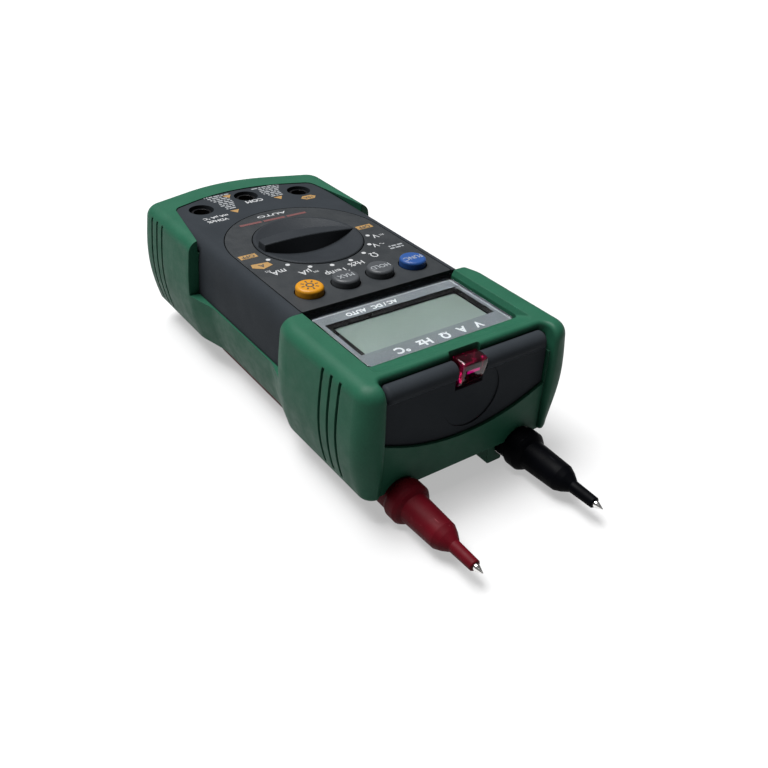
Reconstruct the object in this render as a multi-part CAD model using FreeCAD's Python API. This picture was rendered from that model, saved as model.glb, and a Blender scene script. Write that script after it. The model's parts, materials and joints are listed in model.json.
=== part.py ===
import FreeCAD, Part
import math
import os

os.makedirs("parts", exist_ok=True)

# A handheld digital multimeter in a rubber holster, with two test probes clipped in its back.
# Drawn in millimetres from the middle of the dial: +X to the right for a person reading the
# dial, +Y towards the display end, +Z out of the face. At the end every piece is lifted so
# that the object stands on z = 0, centred on x = 0 and y = 0.

# ---- driving dimensions -------------------------------------------------------------------
PARTING_Z = -18.0          # seam between the front and rear shells, widest level of the holster
SEAT_Z = -3.1              # front shell's face under the lens and under the holster's rim
LENS_Z = -1.5              # outer face of the display lens
LENS_THICK = 0.9
LENS_SEAT_Z = -2.5         # raised seat of the lens on the front shell
BACK_Z = -34.5             # back of the holster
SHELL_BACK_Z = -28.2       # back of the rear shell beside its battery box
BOX_BACK_Z = -33.8         # back of the battery box
REST_Z = -43.3             # feet of the probe clips
HOLSTER_TOP_Z = 0.3

DISPLAY_HALF = 36.0        # half widths of the holster at the seam
WAIST_HALF = 32.5
JACK_HALF = 35.3
DISPLAY_END = 84.0
FACE_Y = 81.9              # recessed middle of the display end
RECESS_HALF = 28.6         # half width of that recess, between the corner columns
BROW_Y = 77.8              # front edge of the rubber above the end panel
PANEL_Y = 80.9             # face of the end panel
BEAD_Y, BEAD_Z = 79.3, -4.4    # middle of the rounded bead along the top of the end panel
BEAD_RADIUS = 2.75
BEAD_HALF = 27.1
BROW_FLOOR_Z = -7.5        # level under the brow that its front edge is cut down to
PANEL_LOW_Z = -18.0        # foot of the end panel at its sides
PANEL_ARC = 62.0           # radius of the end panel's curved foot
NCV_HALF = 4.5             # half width of the sensor's red window
JACK_CORNER = -52.0
JACK_APEX = -62.8          # point that the jack end's two straight lines meet at, before rounding
JACK_RADIUS = 55.0
JACK_SLOPE = (JACK_CORNER - JACK_APEX) / JACK_HALF
JACK_END = JACK_APEX + JACK_RADIUS * (math.hypot(1, JACK_SLOPE) - 1)
STEP_Y = 40.8              # edge between the control panel and the display block
GRIP_Y = -15.6             # inner edge of the jack block
FUNNEL_HALF, FUNNEL_END = 26.0, 70.4   # opening of the rubber round the lens
FUNNEL_Z = -1.4            # level that the rubber's slope starts from
GROOVE_DEPTH, GROOVE_HALF = 0.7, 0.55
GROOVE_PLACES = (64.0, 68.0, 72.0, -36.0, -40.0, -44.0)

SHELL_HALF = 30.2
SHELL_END = 79.6
SHELL_JACK_Y = -46.0       # where the shell's side walls end, inside
SHELL_APEX = -54.5
WALL = 2.0
GAP = 0.15                 # clearance between neighbouring pieces
LINE_GAP = 0.02            # clearance between pieces that rest on each other
TOP = 6.0                  # a level above everything, for cutters

DIAL_RADIUS = 17.7
PANEL_HALF = 26.4
PANEL_TOP_Y = 39.9
PANEL_THICK = 1.3
JACK_SPACING = 19.05
JACK_Y = -38.0
COM_Y = -42.2
BORE_RADIUS = 2.0          # a 4 mm test plug's bore
SLEEVE_RADIUS = 2.6
SLEEVE_TOP, SLEEVE_BASE = -4.5, -18.2
SHROUD_RADIUS = 3.35
WELL_RADIUS = 4.2          # touch-proof well in the face around each socket
BUTTON_Y = 30.9
BUTTON_PITCH = 12.3
BUTTON_RADIUS = 4.15
BUTTON_TRAVEL = 1.0
CAP_TOP = 2.3
PLUNGER_RADIUS, PLUNGER_BASE = 2.4, -9.4
DOME_TOP = PLUNGER_BASE - BUTTON_TRAVEL - 0.1

RIM_TOP = 0.4              # dial's rim, and the dished face inside it
DISC_BASE = -1.25
BOWL_RADIUS, BOWL_DEPTH = 55.0, 2.2
ARCH_RADIUS = 107.0        # long curve of the ridge's crest
HUB_RADIUS = 10.6
SPINDLE_RADIUS = 3.0
ROTOR_RADIUS = 15.0
ROTOR_TOP, ROTOR_BASE = -7.6, -10.2
DETENT_Z = -8.9
DETENT_STEP = 20           # degrees between the dial's positions
BOARD_TOP = -12.0
BOARD_THICK = 1.6
BOARD_BACK = BOARD_TOP - BOARD_THICK
BOARD_UNDER = BOARD_BACK - LINE_GAP    # where parts on the board's back stand
FUSE_Z = BOARD_BACK - 4.6
FUSES = {"fuse_10a": (20.5, 5.0, 32.0, 3.1), "fuse_ma": (-20.5, 12.0, 20.0, 2.6)}

PROBE_X = 21.3
PROBE_Z = -37.0
PROBE_RADIUS = 5.5
PROBE_REAR = -14.0
PROBE_POINT = 115.8
FLANGE_Y = 82.5
CHANNEL_RADIUS = PROBE_RADIUS + 0.35
TIP_RADIUS = 1.0
CLIP_IN, CLIP_OUT = 12.9, 18.6
CLIP_RUNS = ((72.0, 79.0), (-13.0, -4.0))

CELL_RADIUS = 5.2
CELL_LENGTH = 44.5
CELL_X = 5.35
CELL_Z = -26.6
CELL_START = -47.4
NUB_LENGTH = 0.9
BOX_HALF = 12.2
WINDOW_HALF = 12.5
STAND_HALF = 10.6
PIN_Y = 54.5
PIN_Z = -32.2
PIN_RADIUS = 0.79
DOOR_HALF = 10.8
DOOR_START, DOOR_END = -53.0, -1.0
DOOR_SCREW_Y = -50.9

# ---- helpers ------------------------------------------------------------------------------
Vector = FreeCAD.Vector
X_AXIS, Y_AXIS, Z_AXIS = Vector(1, 0, 0), Vector(0, 1, 0), Vector(0, 0, 1)
pieces = {}


def box(x0, x1, y0, y1, z0, z1):
    return Part.makeBox(x1 - x0, y1 - y0, z1 - z0, Vector(x0, y0, z0))


def post(x, y, z0, z1, radius, top_radius=None):
    """Upright cylinder, or cone if the top radius differs."""
    if top_radius is None or top_radius == radius:
        return Part.makeCylinder(radius, z1 - z0, Vector(x, y, z0), Z_AXIS)
    return Part.makeCone(radius, top_radius, z1 - z0, Vector(x, y, z0), Z_AXIS)


def bar(x, z, y0, y1, radius):
    """Cylinder lying along Y."""
    return Part.makeCylinder(radius, y1 - y0, Vector(x, y0, z), Y_AXIS)


def rounded_wire(corners, z=0.0):
    """Closed wire round the (x, y, radius) corners, each one eased by a tangent arc."""
    points = [Vector(x, y, z) for x, y, radius in corners]
    arcs = []
    for i, (x, y, radius) in enumerate(corners):
        corner = points[i]
        back = (points[i - 1] - corner).normalize()
        ahead = (points[(i + 1) % len(points)] - corner).normalize()
        half = back.getAngle(ahead) / 2
        reach = radius / math.tan(half)
        inward = (back + ahead).normalize() * (radius / math.sin(half) - radius)
        arcs.append((corner + back * reach, corner + inward, corner + ahead * reach))
    edges = []
    for i, (start, middle, end) in enumerate(arcs):
        if corners[i][2] > 0:
            edges.append(Part.Arc(start, middle, end).toShape())
        edges.append(Part.LineSegment(end, arcs[(i + 1) % len(arcs)][0]).toShape())
    return Part.Wire(edges)


def prism(corners, z0, z1):
    return Part.Face(rounded_wire(corners, z0)).extrude(Vector(0, 0, z1 - z0))


def slab(corners, y0, y1):
    """Solid with an outline in X and Z, given as (x, z, radius), running along Y."""
    wire = rounded_wire(corners)
    wire.rotate(Vector(0, 0, 0), X_AXIS, 90)
    wire.translate(Vector(0, y0, 0))
    return Part.Face(wire).extrude(Vector(0, y1 - y0, 0))


def drafted(low, z0, high, z1):
    """Solid between two outlines with the same corners."""
    return Part.makeLoft([rounded_wire(low, z0), rounded_wire(high, z1)], True, True)


def mirrored(corners):
    """Right half of a symmetric outline, from its top to its bottom, closed on the left."""
    left = [(-x, y, radius) for x, y, radius in reversed(corners) if x > 0]
    return corners + left


def smooth_loft(sections):
    """Solid through (outline, z) sections with the same corners, with no crease between them."""
    return Part.makeLoft([rounded_wire(corners, z) for corners, z in sections], True, False)


def grown(corners, amount):
    """Outline moved outwards, or inwards if the amount is negative."""
    sign = math.copysign
    return [(x + amount * sign(1, x) if x else x, y + amount * sign(1, y), radius)
            for x, y, radius in corners]


def inset(corners, side, end):
    """Outline brought in by side across its width and by end at both ends."""
    moved = []
    for x, y, radius in corners:
        nearer_x = math.copysign(max(abs(x) - side, 0), x) if x else 0.0
        moved.append((nearer_x, y - math.copysign(end, y), radius))
    return moved


def soften(shape, radius, chosen):
    """Fillet the edges that the test picks."""
    return shape.makeFillet(radius, [edge for edge in shape.Edges if chosen(edge)])


def level(z, tolerance=0.01):
    """Test for an edge that lies flat at one height."""
    def chosen(edge):
        bounds = edge.BoundBox
        return abs(bounds.ZMin - z) < tolerance and abs(bounds.ZMax - z) < tolerance
    return chosen


def turned(points):
    """Solid of revolution about Z from (radius, z) points."""
    wire = Part.makePolygon([Vector(r, 0, z) for r, z in points + points[:1]])
    return Part.Face(wire).revolve(Vector(0, 0, 0), Z_AXIS, 360)


def turned_along_y(points, x, z):
    """Solid of revolution about a line along Y from (y, radius) points."""
    wire = Part.makePolygon([Vector(x + r, y, z) for y, r in points + points[:1]])
    return Part.Face(wire).revolve(Vector(x, 0, z), Y_AXIS, 360)


def group(shapes):
    return Part.makeCompound(shapes)


# ---- outlines -----------------------------------------------------------------------------
def holster_outline(display_corner, jack_corner):
    """Plan of the holster: two blocks with a waist between them and a round jack end."""
    return mirrored([
        (DISPLAY_HALF, DISPLAY_END, display_corner), (DISPLAY_HALF, 45, 12),
        (WAIST_HALF, 33.5, 12), (WAIST_HALF, -4, 12), (JACK_HALF, -15.5, 12),
        (JACK_HALF, JACK_CORNER, jack_corner), (0, JACK_APEX, JACK_RADIUS),
    ])


HOLSTER_OUTLINE = holster_outline(5.5, 6.5)
SHELL_OUTLINE = mirrored([
    (SHELL_HALF, SHELL_END, 4), (SHELL_HALF, -48, 8), (0, -58.2, JACK_RADIUS),
])
COLLAR_OPENING = mirrored([
    (32.4, GRIP_Y + 3, 0), (31.3, GRIP_Y, 3), (26.6, -42.5, 4), (0, -51.9, JACK_RADIUS),
])
SHELL_INSIDE = mirrored([
    (SHELL_HALF - WALL, SHELL_END - WALL, 3), (SHELL_HALF - WALL, SHELL_JACK_Y, 6),
    (0, SHELL_APEX, JACK_RADIUS),
])
LENS_OUTLINE = mirrored([(24.9, 70.2, 1.2), (24.9, STEP_Y + 0.6, 0.6)])
PANEL_OPENING = mirrored([(28.0, -2.2, 3.0), (28.4, PANEL_LOW_Z, 0.4), (0, -31, PANEL_ARC)])


def jacks():
    """(name, x, y) of the three input sockets."""
    return [
        ("socket_10a", -JACK_SPACING, JACK_Y),
        ("socket_com", 0.0, COM_Y),
        ("socket_volt", JACK_SPACING, JACK_Y),
    ]


def buttons():
    """(name, x) of the four caps."""
    names = ["function_button", "hold_button", "max_button", "backlight_button"]
    return [(name, BUTTON_PITCH * (i - 1.5)) for i, name in enumerate(names)]


# ---- holster ------------------------------------------------------------------------------
def side_groove(y, side):
    """Cutter for one upright groove in a side of the holster, hooked over at its top."""
    floor_x = (DISPLAY_HALF if y > 0 else JACK_HALF) - GROOVE_DEPTH
    outline = [
        (side * (floor_x - 2.6), -2.0, 0), (side * (floor_x - 0.4), -6.0, 0),
        (side * floor_x, PARTING_Z, 0), (side * (floor_x - 0.9), -26.0, 0),
        (side * (floor_x - 2.6), -32.4, 0), (side * 40, -32.4, 0), (side * 40, -2.0, 0),
    ]
    return slab(outline, y - GROOVE_HALF, y + GROOVE_HALF)


def probe_channel(x):
    return bar(x, PROBE_Z, PROBE_REAR - 8.0, DISPLAY_END + 1, CHANNEL_RADIUS)


def clip(side, y0, y1):
    """Rubber hook that reaches under a probe handle from its inner side and stands on the table."""
    corners = [(CLIP_IN, BACK_Z + 1.5, 0), (CLIP_IN, REST_Z, 1.0), (CLIP_OUT, REST_Z, 0.5),
               (CLIP_OUT, BACK_Z + 1.5, 0)]
    return slab([(side * x, z, radius) for x, z, radius in corners], y0, y1)


def recess_lip(edge):
    """Test for the outer edges of the recess in the display end, and of the brow above it."""
    bounds = edge.BoundBox
    inside = bounds.XMax < RECESS_HALF + 0.05 and bounds.XMin > -RECESS_HALF - 0.05
    on_brow = inside and bounds.ZMin > 0.1 and bounds.YMin > BROW_Y - 0.1
    along_side = abs(abs(bounds.XMin) - RECESS_HALF) < 0.02 and bounds.XLength < 0.05
    on_column = along_side and bounds.YMax > FACE_Y + 0.5 and bounds.ZLength > 0.02
    return on_brow or on_column


def lens_funnel():
    """Cutter that opens the rubber over the lens and slopes it down to the lens at its far side."""
    low = mirrored([(FUNNEL_HALF, FUNNEL_END, 1.4), (FUNNEL_HALF, 30, 0)])
    high = mirrored([(FUNNEL_HALF + 1.0, FUNNEL_END + 5.8, 2.4), (FUNNEL_HALF + 1.0, 30, 0)])
    return prism(low, SEAT_Z - 1, FUNNEL_Z).fuse(drafted(low, FUNNEL_Z, high, HOLSTER_TOP_Z + 0.1))


def make_holster():
    barrel = smooth_loft([
        (inset(holster_outline(3.5, 5.0), 3.2, 0.8), BACK_Z),
        (inset(HOLSTER_OUTLINE, 0.9, 0.3), -26.0),
        (HOLSTER_OUTLINE, PARTING_Z),
        (inset(HOLSTER_OUTLINE, 0.3, 0.1), -9.0),
        (inset(HOLSTER_OUTLINE, 1.2, 0.4), HOLSTER_TOP_Z),
    ])
    barrel = soften(barrel, 1.0, level(BACK_Z))
    barrel = soften(barrel, 4.0, level(HOLSTER_TOP_Z))
    brow = prism([(RECESS_HALF, 95, 0), (-RECESS_HALF, 95, 0), (-RECESS_HALF, BROW_Y, 2.2),
                  (RECESS_HALF, BROW_Y, 2.2)], BROW_FLOOR_Z, TOP)
    recess = slab(mirrored([(RECESS_HALF, -3.0, 0), (RECESS_HALF, -50, 0)]), FACE_Y, 90)
    body = soften(barrel.cut(brow.fuse(recess).removeSplitter()), 1.2, recess_lip)

    clips = []
    for side in (1, -1):
        for start, end in CLIP_RUNS:
            clips.append(clip(side, start, end))
    body = body.fuse(clips)

    upper_cavity = prism(grown(SHELL_OUTLINE, GAP), PARTING_Z - 0.1, SEAT_Z + 0.1)
    lower_cavity = drafted(inset(grown(SHELL_OUTLINE, GAP), 2.6, 0.0), SHELL_BACK_Z - GAP,
                           grown(SHELL_OUTLINE, GAP), PARTING_Z)
    collar = prism(COLLAR_OPENING, SEAT_Z - 1, TOP)
    waist = box(-40, 40, GRIP_Y, STEP_Y, PARTING_Z - 0.03, TOP)
    panel_window = slab(PANEL_OPENING, 78.5, 90)
    notch_half = NCV_HALF + 0.8
    ncv_notch = prism([(notch_half, 95, 0), (-notch_half, 95, 0), (-notch_half, BROW_Y - 0.9, 0.8),
                       (notch_half, BROW_Y - 0.9, 0.8)], SEAT_Z - 1, TOP)
    back_window = prism(mirrored([(WINDOW_HALF, 59.5, 1), (WINDOW_HALF, -55, 1)]), -40, -20)
    cuts = [upper_cavity, lower_cavity, lens_funnel(), collar, waist, panel_window, ncv_notch,
            back_window, probe_channel(PROBE_X), probe_channel(-PROBE_X)]
    body = body.cut(cuts)
    for side in (1, -1):
        for y in GROOVE_PLACES:
            body = body.cut(side_groove(y, side))
    return body


# ---- shells -------------------------------------------------------------------------------
def shouldered_bar(y0, y1):
    """Front shell's section between the holster's blocks, whose shoulders roll over to its sides."""
    shoulder = Part.BezierCurve()
    shoulder.setPoles([Vector(27.0, 0, 0), Vector(30.4, 0, -0.3), Vector(31.4, 0, -4),
                       Vector(31.5, 0, -11)])
    right = [shoulder.toShape(),
             Part.LineSegment(Vector(31.5, 0, -11), Vector(31.9, 0, PARTING_Z)).toShape()]
    left = [edge.mirror(Vector(0, 0, 0), X_AXIS) for edge in right]
    base = Part.LineSegment(Vector(31.9, 0, PARTING_Z), Vector(-31.9, 0, PARTING_Z)).toShape()
    top = Part.LineSegment(Vector(27, 0, 0), Vector(-27, 0, 0)).toShape()
    wire = Part.Wire(Part.__sortEdges__(right + left + [base, top]))
    wire.translate(Vector(0, y0, 0))
    return Part.Face(wire).extrude(Vector(0, y1 - y0, 0))


def make_front_case():
    body = prism(SHELL_OUTLINE, PARTING_Z, SEAT_Z)
    plateau = prism(grown(COLLAR_OPENING, -0.12), SEAT_Z - 0.5, 0)
    plateau = plateau.common(shouldered_bar(-60, GRIP_Y + 2.5))
    body = body.fuse([plateau, shouldered_bar(GRIP_Y + GAP, STEP_Y - GAP)])
    end_wall = slab(mirrored([(27.8, BEAD_Z, 1.5), (28.2, PANEL_LOW_Z + 0.1, 0.4),
                              (0, -30.7, PANEL_ARC)]), SHELL_END - WALL, PANEL_Y)
    lens_seat = prism(LENS_OUTLINE, SEAT_Z - 0.5, LENS_SEAT_Z)
    body = body.fuse([end_wall.cut(thumb_dish()), make_bead(), lens_seat])

    cavity = prism(SHELL_INSIDE, PARTING_Z - 10, SEAT_Z - 1.6)
    under_panel = prism(mirrored([(27.0, STEP_Y - 2.0, 2), (27.0, -20, 6), (22, -36, 4),
                                  (0, -44, JACK_RADIUS)]), PARTING_Z, -2.2)
    wells = [post(x, y, BOARD_TOP + GAP, -1.0, WELL_RADIUS + 1.5) for name, x, y in jacks()]
    posts = [post(x, y, BOARD_TOP + 0.05, -4.0, 2.8) for x, y in screw_places()]
    ring_bore = post(0, 0, BOARD_TOP, -1, ROTOR_RADIUS + 0.6)
    detent_ring = post(0, 0, -11.0, -2.0, ROTOR_RADIUS + 2.6).cut(ring_bore)
    body = body.cut([cavity, under_panel]).fuse(wells + posts + [detent_ring])

    cuts = [prism(panel_outline(0.3), -1.35, 2)]
    cuts.append(box(-29.6, 29.6, STEP_Y - 0.7, STEP_Y + 0.6, -4.0, 2))
    for name, x, y in jacks():
        cuts.append(post(x, y, BOARD_TOP, 2, WELL_RADIUS))
    for name, x in buttons():
        cuts.append(post(x, BUTTON_Y, -4, 2, BUTTON_RADIUS + 0.2))
    cuts.append(post(0, 0, -4, 2, HUB_RADIUS + 0.4))
    cuts += [post(x, y, -13, -5.5, 1.3) for x, y in screw_places()]
    for turn in range(0, 360, DETENT_STEP):
        notch = math.radians(turn)
        reach = ROTOR_RADIUS + 0.75
        cuts.append(post(reach * math.cos(notch), reach * math.sin(notch), -11.5, -6.0, 0.6))
    cuts.append(box(-23.6, 23.6, 45.3, 66.0, -8, 0))
    cuts.append(box(-NCV_HALF - 0.3, NCV_HALF + 0.3, 77, 90, -9.8, 0))
    return body.cut(cuts)


def make_bead():
    """Round bead along the top of the end panel, cut back to clear the rubber brow."""
    bead = Part.makeCylinder(BEAD_RADIUS, 2 * BEAD_HALF, Vector(-BEAD_HALF, BEAD_Y, BEAD_Z), X_AXIS)
    bead = soften(bead, 1.2, lambda edge: edge.Closed)
    return bead.cut(box(-40, 40, 70, BROW_Y + GAP, SEAT_Z - 0.1, 2))


def thumb_dish():
    """Cutter for the shallow round dish in the end panel, which tilts and runs out to one side."""
    lean = 0.02
    return Part.makeCylinder(9.7, 3.0, Vector(-1.5, PANEL_Y - 0.15, -13.2), Vector(-lean, 1, -lean))


def panel_outline(grow):
    half = PANEL_HALF + grow
    top = PANEL_TOP_Y + grow
    return [(half, top, 0.5), (-half, top, 0.5), (-half, -half, half - 0.01),
            (half, -half, half - 0.01)]


def make_control_panel():
    plate = prism(panel_outline(0.0), -PANEL_THICK, 0)
    cuts = [post(0, 0, -3, 2, DIAL_RADIUS + 0.3)]
    for name, x in buttons():
        cuts.append(post(x, BUTTON_Y, -3, 2, BUTTON_RADIUS + 0.35))
    return plate.cut(cuts)


def make_rear_case():
    body = drafted(inset(SHELL_OUTLINE, 2.6, 0.0), SHELL_BACK_Z, SHELL_OUTLINE,
                   PARTING_Z - LINE_GAP)
    body = body.fuse(box(-BOX_HALF, BOX_HALF, -54.0, 58.5, BOX_BACK_Z, SHELL_BACK_Z + 1))
    cavity = drafted(inset(SHELL_INSIDE, 2.1, 0.0), SHELL_BACK_Z + WALL, SHELL_INSIDE,
                     PARTING_Z + 0.5)
    body = body.cut(cavity)
    body = body.fuse(box(-BOX_HALF, BOX_HALF, -53.0, 0.5, BOX_BACK_Z, CELL_Z + CELL_RADIUS + 1.4))
    cell_space = box(-DOOR_HALF - 0.2, DOOR_HALF + 0.2, -48.6, -1.8, BOX_BACK_Z - 1,
                     CELL_Z + CELL_RADIUS + 0.3)
    door_space = box(-DOOR_HALF - 0.2, DOOR_HALF + 0.2, DOOR_START - 0.2, DOOR_END + 0.2,
                     BOX_BACK_Z - 1, -32.0)
    stand_space = box(-STAND_HALF - 0.3, STAND_HALF + 0.3, 4.0, 57.5, BOX_BACK_Z - 1, -30.6)
    end_cut = slab(mirrored([(28.5, PANEL_LOW_Z + 0.5, 0), (28.5, PANEL_LOW_Z - 0.1, 0.4),
                             (0, -31.4, PANEL_ARC)]), 77.4, 90)
    pin_hole = Part.makeCylinder(PIN_RADIUS + 0.01, 30, Vector(-15, PIN_Y, PIN_Z), X_AXIS)
    screw_hole = post(0, DOOR_SCREW_Y, -33, -24, 0.9)
    cuts = [cell_space, door_space, stand_space, end_cut, pin_hole, screw_hole]
    for x, y in screw_places():
        cuts.append(post(x, y, SHELL_BACK_Z - 1, -12, 1.3))
        cuts.append(post(x, y, SHELL_BACK_Z - 1, -26.9, 2.6))
    bosses = [post(x, y, SHELL_BACK_Z + 0.5, BOARD_BACK - 0.1, 3.0) for x, y in screw_places()]
    return body.fuse(bosses).cut(cuts)


def screw_places():
    return [(x, y) for x in (-23.0, 23.0) for y in (-28.5, 73.0)]


def make_case_screws():
    screws = []
    for x, y in screw_places():
        head = post(x, y, SHELL_BACK_Z + 0.1, -26.95, 2.4)
        shank = post(x, y, -26.95, -6.0, 1.2)
        drive = group([box(x - 1.4, x + 1.4, y - 0.25, y + 0.25, -29, -27.5),
                       box(x - 0.25, x + 0.25, y - 1.4, y + 1.4, -29, -27.5)])
        screws.append(head.fuse(shank).cut(drive.Solids))
    return group(screws)


# ---- display ------------------------------------------------------------------------------
def make_display():
    """Lens, and under it a bezel that holds the glass over its light box and contact strips."""
    lens = prism(LENS_OUTLINE, LENS_Z - LENS_THICK, LENS_Z)
    pieces["display_lens"] = soften(lens, 0.25, level(LENS_Z))
    pieces["lcd_glass"] = box(-22.9, 22.9, 46.1, 65.2, -5.3, -3.35)
    pieces["lcd_backlight"] = box(-22.0, 22.0, 48.3, 63.1, BOARD_TOP + 0.05, -5.4)
    bezel = box(-23.45, 23.45, 45.45, 65.85, -5.1, -2.8)
    flange = box(-24.6, 24.6, 43.0, 69.6, BOARD_TOP + 0.05, -5.0)
    view = box(-21.4, 21.4, 47.8, 63.4, -6, -2)
    inside = box(-23.0, 23.0, 46.0, 65.3, -13, -3.3)
    pieces["lcd_frame"] = bezel.fuse(flange).cut([view, inside]).removeSplitter()
    strips = [box(-21.0, 21.0, y, y + 1.6, BOARD_TOP, -5.3) for y in (46.4, 63.4)]
    pieces["zebra_strips"] = group(strips)


# ---- buttons and dial ---------------------------------------------------------------------
def make_buttons():
    for name, x in buttons():
        cap = post(x, BUTTON_Y, -1.5, CAP_TOP, BUTTON_RADIUS)
        cap = soften(cap, 0.9, level(CAP_TOP))
        plunger = post(x, BUTTON_Y, PLUNGER_BASE, -1.5, PLUNGER_RADIUS)
        flange = post(x, BUTTON_Y, -3.4, -2.4, 4.9)
        neck = post(x, BUTTON_Y, -3.4, -1.4, BUTTON_RADIUS)
        pieces[name] = cap.fuse([plunger, flange, neck]).removeSplitter()
    sheet = box(-24.0, 24.0, 25.4, 36.4, BOARD_TOP + LINE_GAP, -11.2)
    domes = [post(x, BUTTON_Y, -11.3, DOME_TOP, 3.4, 2.2) for name, x in buttons()]
    pieces["keypad_mat"] = sheet.fuse(domes).removeSplitter()


def ridge_side(half_widths, z):
    """Edge along one side of the dial's ridge, from (x, half width) points."""
    curve = Part.BSplineCurve()
    curve.interpolate([Vector(x, half, z) for x, half in half_widths])
    return curve.toShape()


def ridge_outline(half_widths, z):
    """Closed outline of the dial's ridge at one height: blunt at one end, pointed at the other."""
    right = ridge_side(half_widths, z)
    left = ridge_side([(x, -half) for x, half in half_widths], z)
    ends = []
    for x, half in (half_widths[0], half_widths[-1]):
        ends.append(Part.LineSegment(Vector(x, half, z), Vector(x, -half, z)).toShape())
    return Part.Wire(Part.__sortEdges__([right, ends[1], left, ends[0]]))


def make_ridge():
    """Grip across the dial, highest near its blunt end and falling away to its point."""
    foot = ridge_outline([(17.2, 2.5), (8, 3.9), (0, 4.2), (-8, 3.3), (-17.0, 0.8)], -2.4)
    crest = ridge_outline([(16.8, 2.0), (8, 2.5), (0, 2.4), (-8, 1.8), (-16.9, 0.4)], 3.6)
    ridge = Part.makeLoft([foot, crest], True, True)
    beside_hub = post(0, 0, -3, DISC_BASE, 20).cut(post(0, 0, -4, 0, HUB_RADIUS))
    arch = Part.makeCylinder(ARCH_RADIUS, 40, Vector(6.5, -20, 3.2 - ARCH_RADIUS), Y_AXIS)
    ridge = soften(ridge.common(arch), 0.45, lambda edge: edge.BoundBox.ZMax > 2.0)
    return ridge.cut(beside_hub)


def make_knob():
    """Dished dial with its ridge, hub and spindle, and the switch rotor that it turns."""
    disc = turned([(0, DISC_BASE), (DIAL_RADIUS, DISC_BASE), (DIAL_RADIUS, RIM_TOP - 0.3),
                   (DIAL_RADIUS - 0.3, RIM_TOP), (0, RIM_TOP)])
    hub = post(0, 0, ROTOR_TOP + 0.4, -0.9, HUB_RADIUS)
    bowl = Part.makeSphere(BOWL_RADIUS, Vector(0, 0, BOWL_RADIUS - BOWL_DEPTH))
    disc = disc.fuse(hub).cut(bowl)
    spindle = post(0, 0, ROTOR_BASE - 0.2, ROTOR_TOP + 0.6, SPINDLE_RADIUS)
    pieces["rotary_knob"] = disc.fuse([make_ridge(), spindle]).removeSplitter()

    rotor = post(0, 0, ROTOR_BASE, ROTOR_TOP, ROTOR_RADIUS)
    cuts = [post(0, 0, -12, 0, SPINDLE_RADIUS + 0.1)]
    balls = []
    for side in (1, -1):
        cuts.append(Part.makeCylinder(1.0, 7.0, Vector(side * 9.0, 0, DETENT_Z), X_AXIS * side))
        balls.append(Part.makeSphere(0.95, Vector(side * 14.6, 0, DETENT_Z)))
    pieces["switch_rotor"] = rotor.cut(cuts)
    pieces["detent_balls"] = group(balls)
    pieces["detent_springs"] = group([make_spring(side) for side in (1, -1)])
    wipers = []
    for radius in (6.0, 9.0, 12.0):
        for angle in (60.0, 240.0):
            leaf = box(radius - 0.6, radius + 0.6, -2.6, 2.6, -11.1, ROTOR_BASE)
            bump = post(radius, 2.0, BOARD_TOP + 0.04, -11.1, 0.5)
            finger = leaf.fuse(bump)
            finger.rotate(Vector(0, 0, 0), Z_AXIS, angle)
            wipers.append(finger)
    pieces["switch_wipers"] = group(wipers)


def make_spring(side):
    """Coil that pushes a detent ball outwards, as a helix of round wire along X."""
    coil_radius = 0.68
    helix = Part.makeHelix(0.9, 4.3, coil_radius)
    section = Part.Wire(Part.Circle(Vector(coil_radius, 0, 0), Y_AXIS, 0.18).toShape())
    coil = Part.Wire(helix).makePipeShell([section], True, True)
    coil.rotate(Vector(0, 0, 0), Y_AXIS, 90 * side)
    coil.translate(Vector(side * 9.3, 0, DETENT_Z))
    return coil


# ---- sockets and board --------------------------------------------------------------------
def make_sockets():
    for name, x, y in jacks():
        sleeve = post(x, y, SLEEVE_BASE, SLEEVE_TOP, SLEEVE_RADIUS)
        sleeve = sleeve.cut(post(x, y, SLEEVE_BASE + 1.2, 0, BORE_RADIUS))
        foot = post(x, y, -14.8, BOARD_UNDER, 3.6).cut(post(x, y, -16, -12, SLEEVE_RADIUS - 0.3))
        pieces[name] = sleeve.fuse(foot).removeSplitter()
        shroud = post(x, y, BOARD_TOP + LINE_GAP, -0.9, SHROUD_RADIUS)
        pieces[name + "_shroud"] = shroud.cut(post(x, y, -13, 0, SLEEVE_RADIUS + 0.05))


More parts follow.
